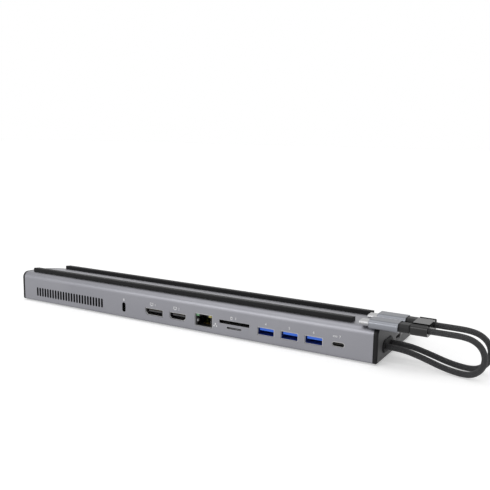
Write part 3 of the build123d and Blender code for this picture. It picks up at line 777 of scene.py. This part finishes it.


# %% [markdown]
# Every mesh made from here on is a piece that rides on the dock and gets its material. A
# single one is moved to its place. A row is made by the tree and then kept as a plain mesh.


# %% Pieces and rows of pieces
def new_piece(name, data, material):
    """Links a finished mesh as a piece that rides on the dock."""
    piece = bpy.data.objects.new(name, data)
    bpy.context.scene.collection.objects.link(piece)
    if not data.materials:
        data.materials.append(material)
    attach(piece, "dock")


def single(name, data, place, material):
    """A piece whose mesh is moved to its place."""
    data.transform(Matrix.Translation(place))
    new_piece(name, data, material)


def row(name, data, count, start, step, material, slot):
    """A plain mesh with the piece repeated along a line."""
    holder = bpy.data.objects.new(name + "_source", data)
    bpy.context.scene.collection.objects.link(holder)
    repeat = holder.modifiers.new("row", "NODES")
    repeat.node_group = row_of_pieces
    values = {"Count": count, "Start": start, "Step": step, "Finish": material}
    for item in row_of_pieces.interface.items_tree:
        if item.in_out == "INPUT" and item.name in values:
            repeat[item.identifier] = values[item.name]
    bpy.context.view_layer.update()
    graph = bpy.context.evaluated_depsgraph_get()
    result = bpy.data.meshes.new_from_object(holder.evaluated_get(graph))
    bpy.data.objects.remove(holder)
    result.name = name
    new_piece(name, result, material)
    print(name, "faces", len(result.polygons))


# %% [markdown]
# Inside each socket, gold contacts lie on the plastic tongue. Each is a flat strip with rounded
# edges; the row tree spaces them. In the network socket they are eight springy wires that slope
# up and back from the floor of the opening.


# %% Contacts
def strip(width, length, thickness):
    """A bevelled bar centred across, running back from its front end."""
    mesh = bmesh.new()
    bmesh.ops.create_cube(mesh, size=1.0)
    bmesh.ops.scale(mesh, vec=(width, length, thickness), verts=mesh.verts)
    bmesh.ops.translate(mesh, vec=(0, length / 2, 0), verts=mesh.verts)
    bevel = thickness * 0.3
    bmesh.ops.bevel(mesh, geom=list(mesh.edges), offset=bevel, segments=1, affect="EDGES")
    return mesh_data(mesh, "strip")


def wire(points, thickness):
    """A square wire through points in the YZ plane."""
    mesh = bmesh.new()
    rings = []
    for index, (y, z) in enumerate(points):
        before = points[max(index - 1, 0)]
        after = points[min(index + 1, len(points) - 1)]
        along = Vector((0, after[0] - before[0], after[1] - before[1])).normalized()
        over = Vector((1, 0, 0)).cross(along)
        corners = ((-1, -1), (1, -1), (1, 1), (-1, 1))
        middle = Vector((0, y, z))
        half = thickness / 2
        places = [middle + Vector((a * half, 0, 0)) + over * b * half for a, b in corners]
        rings.append([mesh.verts.new(place) for place in places])
    join_rings(mesh, rings)
    mesh.faces.new(rings[0][::-1])
    mesh.faces.new(rings[-1])
    bmesh.ops.recalc_face_normals(mesh, faces=mesh.faces)
    return mesh_data(mesh, "wire")


# %% Rows of contacts
face_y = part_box("shell")[0].y
strip_thickness = 0.1 * MM


def contact_row(name, socket, count, pitch, width, length, level, setback):
    """Contacts on a tongue. The level is counted from the socket's middle."""
    low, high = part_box(socket)
    middle = (low.x + high.x) / 2
    start = (middle - pitch * (count - 1) / 2, low.y + setback, (low.z + high.z) / 2 + level)
    bar = strip(width, length, strip_thickness)
    row(name, bar, count, start, (pitch, 0, 0), gold_plate, "bright_steel")


# Name, socket and count, then pitch, width, length, level and setback in millimetres.
contact_rows = [
    (f"usb_a_contacts_{number}", f"usb_a_shell_{number}", 4, 2.3, 1.1, 7, 0.19, 2.2)
    for number in (1, 2, 3)
] + [
    ("hdmi_contacts_top", "hdmi_shell", 10, 1.0, 0.55, 6, 1.13, 2),
    ("hdmi_contacts_bottom", "hdmi_shell", 9, 1.0, 0.55, 6, -0.13, 2),
    ("displayport_contacts_top", "displayport_shell", 10, 1.1, 0.6, 6, 1.08, 2),
    ("displayport_contacts_bottom", "displayport_shell", 10, 1.1, 0.6, 6, -0.28, 2),
    ("usb_c_power_contacts_top", "usb_c_power_shell", 12, 0.5, 0.28, 4.4, 0.38, 1.3),
    ("usb_c_power_contacts_bottom", "usb_c_power_shell", 12, 0.5, 0.28, 4.4, -0.38, 1.3),
]
for name, socket, count, *sizes in contact_rows:
    contact_row(name, socket, count, *(size * MM for size in sizes))

# %% Contact wires of the network socket
jack_low, jack_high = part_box("rj45_body")
jack_middle = (jack_low.x + jack_high.x) / 2
jack_floor = jack_low.z + 0.4 * MM
wire_pitch = 1.02 * MM
wire_count = 8
wire_thickness = 0.4 * MM
contact_wire = wire(
    [
        (jack_low.y + 5.4 * MM, jack_floor + 0.25 * MM),
        (jack_low.y + 6.0 * MM, jack_floor + 0.3 * MM),
        (jack_low.y + 10.6 * MM, jack_floor + 3.1 * MM),
        (jack_low.y + 11.9 * MM, jack_floor + 3.3 * MM),
    ],
    wire_thickness,
)
row(
    "network_contact_wires",
    contact_wire,
    wire_count,
    (jack_middle - wire_pitch * (wire_count - 1) / 2, 0, 0),
    (wire_pitch, 0, 0),
    gold_plate,
    "bright_steel",
)

# %% [markdown]
# Cutting an opening in anodised aluminium leaves a thin bright lip where the cutter breaks the
# dyed skin. The air slots and the lock slot get a matt black sleeve instead, which is painted
# shade for the dark inside of these openings, and it ends in a narrow black flange on the face.
# All of them are rings round the same arc-cornered outline, so one function makes them.


# %% Rings round an opening
def rounded_outline(width, height, radius, corner_steps=5):
    """Points round a rectangle with arc corners, in the plane of the port face."""
    points = []
    for corner, (sign_x, sign_z) in enumerate(((1, 1), (-1, 1), (-1, -1), (1, -1))):
        for step in range(corner_steps + 1):
            angle = pi / 2 * (corner + step / corner_steps)
            x = sign_x * (width / 2 - radius) + radius * cos(angle)
            z = sign_z * (height / 2 - radius) + radius * sin(angle)
            points.append((x, z))
    return points


def ring(size, radius, inner, outer, front, back):
    """A closed ring between two offsets of an outline, from a front depth to a back depth."""
    width, height = size
    near_side = rounded_outline(width + 2 * inner, height + 2 * inner, radius + inner)
    far_side = rounded_outline(width + 2 * outer, height + 2 * outer, radius + outer)
    loops = ((near_side, back), (near_side, front), (far_side, front), (far_side, back))
    mesh = bmesh.new()
    rings = [[mesh.verts.new((x, y, z)) for x, z in points] for points, y in loops]
    join_rings(mesh, rings + rings[:1])
    bmesh.ops.recalc_face_normals(mesh, faces=mesh.faces)
    return mesh_data(mesh, "ring")


lip_width = 0.13 * MM
lip_proud = 0.03 * MM
lip_sunk = 0.02 * MM
shade_sleeve_thickness = 0.06 * MM
shade_sleeve_clearance = 0.01 * MM
flange_width = 0.14 * MM
flange_sunk = 0.005 * MM
wall_thickness = 1.8 * MM


def lip(size, radius):
    return ring(size, radius, 0.0, lip_width, -lip_proud, lip_sunk)


def liner(size, radius):
    """Painted shade inside an opening: a matt black sleeve and its flange, as two rings in one
    mesh.
    """
    depth = wall_thickness - shade_sleeve_clearance
    tube = ring(size, radius, -shade_sleeve_thickness, -shade_sleeve_clearance, -lip_proud, depth)
    flange = ring(size, radius, -shade_sleeve_thickness, flange_width, -lip_proud, flange_sunk)
    mesh = bmesh.new()
    mesh.from_mesh(tube)
    mesh.from_mesh(flange)
    return mesh_data(mesh, "liner")


# %% [markdown]
# The air slots are milled at an even pitch, so the row tree repeats one black sleeve of painted
# shade. The lock slot is wider and rounder, and gets a sleeve of its own.

# %% Air slots and lock slot
shell_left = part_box("shell")[0].x
shell_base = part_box("shell")[0].z
slot_count = 25
slot_pitch = 3.0 * MM
slot_size = (1.5 * MM, 7.2 * MM)
slot_radius = 0.74 * MM
slot_inset = 15.2 * MM
slot_level = shell_base + 8.6 * MM
slot_start = (shell_left + slot_inset, face_y, slot_level)
slot_step = (slot_pitch, 0, 0)
slot_shade_sleeve = liner(slot_size, slot_radius)
row(
    "air_slot_shade_sleeves",
    slot_shade_sleeve,
    slot_count,
    slot_start,
    slot_step,
    slot_shade_black,
    "black_plastic",
)


lock_size = (3.0 * MM, 7.3 * MM)
lock_radius = 1.49 * MM
lock_inset = 109.9 * MM
lock_place = Vector((shell_left + lock_inset, face_y, slot_level))
single("lock_slot_shade_sleeve", liner(lock_size, lock_radius), lock_place, slot_shade_black)
print("air slots:", slot_count, "each with a liner")

# %% [markdown]
# A socket's opening is cut a little larger than the metal shell behind it, and its lip follows
# that cut. The two card slots are cuts with sizes of their own.

# %% Lips round the sockets and card slots
cut_gap = 0.15 * MM


def lip_round(node, radius):
    """Lip round the opening that a socket's shell looks out of."""
    low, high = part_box(node)
    size = (high.x - low.x + 2 * cut_gap, high.z - low.z + 2 * cut_gap)
    middle = Vector(((low.x + high.x) / 2, face_y, (low.z + high.z) / 2))
    single(node + "_lip", lip(size, radius), middle, cut_edge)


corner_radii = {
    "usb_a_shell_1": 0.6 * MM,
    "usb_a_shell_2": 0.6 * MM,
    "usb_a_shell_3": 0.6 * MM,
    "usb_c_power_shell": 1.77 * MM,
    "rj45_shield": 0.1 * MM,
}
for node, radius in corner_radii.items():
    lip_round(node, radius)

microsd_low, microsd_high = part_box("microsd_reader")
card_middle = (microsd_low.x + microsd_high.x) / 2
sd_place = Vector((card_middle, face_y, shell_base + 10.9 * MM))
sd_lip = lip((25.0 * MM, 2.6 * MM), 0.5 * MM)
single("sd_slot_lip", sd_lip, sd_place, cut_edge)
microsd_place = Vector((card_middle, face_y, (microsd_low.z + microsd_high.z) / 2))
microsd_lip = lip((12.0 * MM, 1.5 * MM), 0.4 * MM)
single("microsd_slot_lip", microsd_lip, microsd_place, cut_edge)
print("lips:", len(corner_radii) + 2)

# %% [markdown]
# The fast sockets show blue inside: a bright tongue over a darker navy sheet, which is painted
# shade for the dim recess round the tongue. The sheet is a shallow U of sheet thickness on the
# floor and sides of the metal shell, swept straight back, so a bar for each side is all that it
# takes.


# %% Bars and linings
def add_bar(mesh, low, high):
    """A closed box between two corners, joined to a mesh in the making."""
    made = bmesh.ops.create_cube(mesh, size=1.0)["verts"]
    size = Vector(high) - Vector(low)
    bmesh.ops.scale(mesh, vec=size, verts=made)
    bmesh.ops.translate(mesh, vec=(Vector(low) + Vector(high)) / 2, verts=made)


def bars(name, corners, material, place=Vector((0, 0, 0))):
    """A piece made of boxes, moved to its place."""
    mesh = bmesh.new()
    for low, high in corners:
        add_bar(mesh, low, high)
    single(name, mesh_data(mesh, name), place, material)


sheet = 0.35 * MM
shade_sheet = 0.12 * MM
shade_sheet_front = 0.5 * MM
shade_sheet_back = 13.0 * MM
side_rise = 0.4 * MM
for number in (1, 2, 3):
    low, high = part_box(f"usb_a_shell_{number}")
    left, right_side, floor_z = low.x + sheet, high.x - sheet, low.z + sheet
    front, back = low.y + shade_sheet_front, low.y + shade_sheet_back
    middle_z = (low.z + high.z) / 2
    corners = [
        ((left + shade_sheet, front, floor_z), (right_side - shade_sheet, back, floor_z + shade_sheet)),
        ((left, front, floor_z + side_rise), (left + shade_sheet, back, middle_z)),
        ((right_side - shade_sheet, front, floor_z + side_rise), (right_side, back, middle_z)),
    ]
    # Painted shade: navy bars on the floor and sides of the socket, darker than the tongue.
    bars(f"usb_a_painted_shade_{number}", corners, navy_painted_shade)
print("bars in each lining:", len(corners))

# %% [markdown]
# In the network socket two sprung steel leaves press on the plug's shield. Each is bent out of
# the shield's side and bulges into the opening at half its height. Its places are in millimetres:
# how far back, and how far into the opening.

# %% Network socket leaves
leaf_points = [(0.0, 0.0), (0.5, 0.35), (1.6, 0.75), (3.0, 0.55), (4.6, 0.1)]
leaf_height = 1.9 * MM
leaf_thickness = 0.15 * MM
leaf_setback = 0.15 * MM
opening_half = 5.95 * MM
leaf_level = jack_floor + 3.3 * MM
mesh = bmesh.new()
for side in (-1, 1):
    rings = []
    for back, bulge in leaf_points:
        y = jack_low.y + leaf_setback + back * MM
        wall_x = jack_middle + side * opening_half
        inner_x = wall_x - side * (bulge * MM + leaf_thickness)
        outer_x = wall_x - side * bulge * MM
        half = leaf_height / 2
        corners = ((inner_x, -half), (outer_x, -half), (outer_x, half), (inner_x, half))
        rings.append([mesh.verts.new((x, y, leaf_level + z)) for x, z in corners])
    join_rings(mesh, rings)
    mesh.faces.new(rings[0])
    mesh.faces.new(rings[-1])
bmesh.ops.recalc_face_normals(mesh, faces=mesh.faces)
leaves = mesh_data(mesh, "network_socket_leaves")
new_piece("network_socket_leaves", leaves, tin_plate)
print("leaves, faces:", len(leaves.polygons))

# %% [markdown]
# The end caps are two-tone: a smooth dark rim, and a flat face with a coarser, paler grain. The
# face is a skin a few hundredths of a millimetre proud, grown from the cap's own outer face, so
# it keeps the holes for the cables and the socket. Corners closer than the weld distance are one.

# %% Grained faces of the end caps
face_proud = 0.04 * MM
face_border = 0.5 * MM
weld = 0.001 * MM


def put_in_order(parts, middle_of):
    """Orders corners or faces by their places, so that each run gives the same mesh."""
    ordered = sorted(parts, key=lambda part: tuple(round(x / weld) for x in middle_of(part)))
    for index, part in enumerate(ordered):
        part.index = index
    parts.sort()


def cap_face(node, outward):
    """The cap's flat outer face, drawn in from its border and given a thickness."""
    mesh = bmesh.new()
    mesh.from_mesh(nodes[node].data)
    bmesh.ops.remove_doubles(mesh, verts=mesh.verts, dist=weld)
    low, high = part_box(node)
    level = high.x if outward > 0 else low.x
    away = [f for f in mesh.faces if abs(f.calc_center_median().x - level) > weld]
    bmesh.ops.delete(mesh, geom=away, context="FACES")
    bmesh.ops.dissolve_limit(mesh, angle_limit=radians(1), verts=mesh.verts, edges=mesh.edges)
    flat = mesh.faces[:]
    border = bmesh.ops.inset_region(
        mesh, faces=flat, thickness=face_border, use_even_offset=True
    )
    bmesh.ops.delete(mesh, geom=border["faces"], context="FACES")
    grown = bmesh.ops.extrude_face_region(mesh, geom=list(mesh.faces))
    moved = [v for v in grown["geom"] if isinstance(v, bmesh.types.BMVert)]
    bmesh.ops.translate(mesh, vec=(outward * face_proud, 0, 0), verts=moved)
    bmesh.ops.triangulate(mesh, faces=mesh.faces)
    bmesh.ops.recalc_face_normals(mesh, faces=mesh.faces)
    put_in_order(mesh.verts, lambda corner: corner.co)
    put_in_order(mesh.faces, lambda face: face.calc_center_median())
    data = mesh_data(mesh, node + "_face")
    new_piece(node + "_face", data, cap_face_plastic)
    area = sum(polygon.area for polygon in data.polygons)
    print(node, "face area in square mm, all sides", round(area / MM**2))


cap_face("left_end_cap", -1)
cap_face("right_end_cap", 1)

# %% [markdown]
# The face carries small printed marks above its sockets. These are plain ones: a number for each
# socket, with a simple outline of a screen, a card, a padlock or linked boxes beside some. They
# are a film of white ink, a few hundredths of a millimetre thick, so they are real thin solids.

# %% White ink
ink_grain = 0.3 * MM


def white_ink():
    material, tree, shader = new_material("epoxy ink, white")
    place = add_node(tree, "ShaderNodeTexCoord").outputs["Object"]
    grain = add_node(
        tree, "ShaderNodeTexNoise", None, {"Vector": place, "Scale": 1 / ink_grain, "Detail": 2.0}
    )
    colour = add_node(
        tree,
        "ShaderNodeMix",
        {"data_type": "RGBA"},
        {"Factor": grain.outputs["Fac"], "A": hex_colour("#D2D2D3"), "B": hex_colour("#E6E6E7")},
    )
    fill(tree, shader, {"Base Color": colour.outputs["Result"], "Roughness": 0.6})
    return material


ink = white_ink()
ink_thickness = 0.03 * MM
number_height = 1.75 * MM
capital_share = 0.7


def printed_number(text, place, turn_about_z=0.0):
    letters = bpy.data.curves.new("number_" + text, "FONT")
    letters.body = text
    letters.size = number_height / capital_share
    letters.align_x = "CENTER"
    letters.align_y = "CENTER"
    letters.extrude = ink_thickness
    holder = bpy.data.objects.new("number_" + text, letters)
    bpy.context.scene.collection.objects.link(holder)
    bpy.context.view_layer.update()
    graph = bpy.context.evaluated_depsgraph_get()
    data = bpy.data.meshes.new_from_object(holder.evaluated_get(graph))
    bpy.data.objects.remove(holder)
    upright = Matrix.Rotation(turn_about_z, 4, "Z") @ Matrix.Rotation(pi / 2, 4, "X")
    data.transform(Matrix.Translation(place) @ upright)
    data.materials.clear()
    mesh = bmesh.new()
    mesh.from_mesh(data)
    bmesh.ops.remove_doubles(mesh, verts=mesh.verts, dist=weld)
    bmesh.ops.recalc_face_normals(mesh, faces=mesh.faces)
    mesh.to_mesh(data)
    mesh.free()
    new_piece("printed_number_" + text, data, ink)


print("number height in mm:", number_height / MM)

# %% [markdown]
# The numbers run from left to right along the port face, and the last one is on the right end. A
# number that has a mark beside it moves a little to the right.

# %% Numbers by the sockets
label_level = shell_base + 14.4 * MM
mark_offset = 2.3 * MM
labelled = {
    "displayport_shell": "screen",
    "hdmi_shell": "screen",
    "sd_reader": "card",
    "usb_a_shell_1": None,
    "usb_a_shell_2": None,
    "usb_a_shell_3": None,
    "usb_c_power_shell": "supply",
}
for number, (node, mark) in enumerate(labelled.items(), start=1):
    low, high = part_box(node)
    middle = (low.x + high.x) / 2 + (mark_offset / 2 if mark else 0.0)
    printed_number(str(number), Vector((middle, face_y, label_level)))
side_low, side_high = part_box("usb_c_side_shell")
cap_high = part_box("right_end_cap")[1]
side_gap = 4 * MM
side_level = (side_low.z + side_high.z) / 2
side_label = Vector((cap_high.x + face_proud, side_high.y + side_gap, side_level))
printed_number(str(len(labelled) + 1), side_label, pi / 2)
print("numbered sockets:", len(labelled) + 1)

# %% [markdown]
# An outlined mark is a few straight strokes. Each stroke is a box, given by its left, lower, right
# and upper edges in millimetres, counted from the middle of the mark.

# %% Outlined marks
stroke = 0.32


def frame_bars(left, bottom, width, height):
    """Four strokes round a rectangle, in millimetres."""
    across, above = left + width, bottom + height
    return [
        (left, bottom, across, bottom + stroke),
        (left, above - stroke, across, above),
        (left, bottom + stroke, left + stroke, above - stroke),
        (across - stroke, bottom + stroke, across, above - stroke),
    ]


marks = {
    "screen": [
        *frame_bars(-1.5, -0.55, 3.0, 1.9),
        (-0.7, -1.1, 0.7, -0.8),
        (-0.16, -0.8, 0.16, -0.55),
    ],
    "card": frame_bars(-0.8, -1.0, 1.6, 2.1) + [(-0.45, 0.3, -0.15, 0.7), (0.15, 0.3, 0.45, 0.7)],
    "supply": [(-1.5, 0.15, 1.5, 0.5)] + [(x, -0.5, x + 0.7, -0.15) for x in (-1.5, -0.35, 0.8)],
    "padlock": [
        (-0.7, -0.8, 0.7, 0.2),
        (-0.45, 0.2, -0.2, 0.8),
        (0.2, 0.2, 0.45, 0.8),
        (-0.45, 0.8, 0.45, 1.0),
    ],
    "network": [
        (-0.5, 0.5, 0.5, 1.4),
        (-1.6, -1.3, -0.6, -0.4),
        (0.6, -1.3, 1.6, -0.4),
        (-0.13, 0.1, 0.13, 0.5),
        (-1.23, -0.15, 1.23, 0.1),
        (-1.23, -0.4, -0.97, -0.15),
        (0.97, -0.4, 1.23, -0.15),
    ],
}


def printed_mark(name, mark, x, z):
    corners = [
        ((left * MM, -ink_thickness, bottom * MM), (across * MM, ink_thickness / 2, above * MM))
        for left, bottom, across, above in marks[mark]
    ]
    bars(name, corners, ink, Vector((x, face_y, z)))


for node, mark in labelled.items():
    if mark:
        low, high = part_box(node)
        mark_x = (low.x + high.x) / 2 - mark_offset
        printed_mark(f"printed_{mark}_{node}", mark, mark_x, label_level)
padlock_rise = 6.0 * MM
printed_mark("printed_padlock", "padlock", lock_place.x, lock_place.z + padlock_rise)
network_gap = 2.9 * MM
network_drop = 0.9 * MM
printed_mark("printed_network", "network", jack_high.x + network_gap, leaf_level - network_drop)
print("marks:", len(marks), "kinds")

# %% [markdown]
# The studio: a pale floor under a white world, one wide soft lamp overhead and a gentle one from
# the front. The world is fully white only where the camera, a reflection or clear plastic sees it,
# so that it doesn't wash the colours out. The floor takes a little of that white near the dock,
# where it has to show a shadow, and all of it further off.

# %% World
scene = bpy.context.scene
scene.view_settings.view_transform = "Standard"

world = bpy.data.worlds.new("studio")
world.use_nodes = True
scene.world = world
sky = world.node_tree
sky.nodes.clear()


def seen_directly(tree):
    """1 for rays from the camera, a reflection or clear plastic, and 0 for diffuse light."""
    rays = add_node(tree, "ShaderNodeLightPath").outputs
    camera_or_gloss = add_node(
        tree,
        "ShaderNodeMath",
        {"operation": "MAXIMUM"},
        {0: rays["Is Camera Ray"], 1: rays["Is Glossy Ray"]},
    )
    any_direct = add_node(
        tree,
        "ShaderNodeMath",
        {"operation": "MAXIMUM"},
        {0: camera_or_gloss.outputs["Value"], 1: rays["Is Transmission Ray"]},
    )
    return any_direct.outputs["Value"]


strength = add_node(
    sky, "ShaderNodeMapRange", None, {"Value": seen_directly(sky), "To Min": 0.55, "To Max": 1.0}
)
light = add_node(
    sky,
    "ShaderNodeBackground",
    None,
    {"Color": (1.0, 1.0, 1.0, 1.0), "Strength": strength.outputs["Result"]},
)
add_node(sky, "ShaderNodeOutputWorld", None, {"Surface": light.outputs["Background"]})
print("nodes in the world:", len(sky.nodes))

# %% [markdown]
# The floor is one large square. It glows only for the rays that see it directly, and more so with
# the distance from the dock.

# %% Floor
floor_size = 6.0
floor_data = bpy.data.meshes.new("floor")
signs = ((-1, -1), (1, -1), (1, 1), (-1, 1))
corners = [(x * floor_size, y * floor_size, 0) for x, y in signs]
floor_data.from_pydata(corners, [], [(0, 1, 2, 3)])
floor = bpy.data.objects.new("floor", floor_data)
scene.collection.objects.link(floor)
floor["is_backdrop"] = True

floor_material, floor_tree, floor_shader = new_material("studio floor, white")
place = add_node(floor_tree, "ShaderNodeTexCoord").outputs["Object"]
distance = add_node(
    floor_tree, "ShaderNodeVectorMath", {"operation": "LENGTH"}, {"Vector": place}
)
whiteness = add_node(
    floor_tree,
    "ShaderNodeMapRange",
    None,
    {
        "Value": distance.outputs["Value"],
        "From Min": 0.25,
        "From Max": 0.9,
        "To Min": 0.4,
        "To Max": 1.0,
    },
)
floor_glow = add_node(
    floor_tree,
    "ShaderNodeMath",
    {"operation": "MULTIPLY"},
    {0: seen_directly(floor_tree), 1: whiteness.outputs["Result"]},
)
floor_surface = {
    "Base Color": hex_colour("#EDEDED"),
    "Roughness": 0.9,
    "Specular IOR Level": 0.1,
    "Emission Color": (1.0, 1.0, 1.0, 1.0),
    "Emission Strength": floor_glow.outputs["Value"],
}
fill(floor_tree, floor_shader, floor_surface)
floor_data.materials.append(floor_material)
print("floor size in m:", 2 * floor_size)

# %% [markdown]
# A large lamp throws soft shadows. Each one here is a rectangle that faces the dock.


# %% Lamps
def area_lamp(name, place, target, size, power):
    lamp_data = bpy.data.lights.new(name, "AREA")
    lamp_data.shape = "RECTANGLE"
    lamp_data.size, lamp_data.size_y = size
    lamp_data.energy = power
    lamp = bpy.data.objects.new(name, lamp_data)
    scene.collection.objects.link(lamp)
    lamp.location = place
    lamp.rotation_euler = (Vector(target) - Vector(place)).to_track_quat("-Z", "Y").to_euler()


area_lamp("overhead_softbox", (-0.1, -0.3, 1.1), (0, 0, 0), (1.4, 0.9), 3.5)
area_lamp("front_fill", (-0.5, -1.2, 0.5), (0, 0, 0), (0.9, 0.6), 4.5)
print("lamps:", len(bpy.data.lights))

# %% [markdown]
# The whole object is measured once more, and its box is kept beside the CAD model's box.
# Nothing made here may stick out of the CAD model by more than a hair.

# %% Finish
final_low, final_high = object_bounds()
sizes = {"cad": [list(cad_low), list(cad_high)], "final": [list(final_low), list(final_high)]}
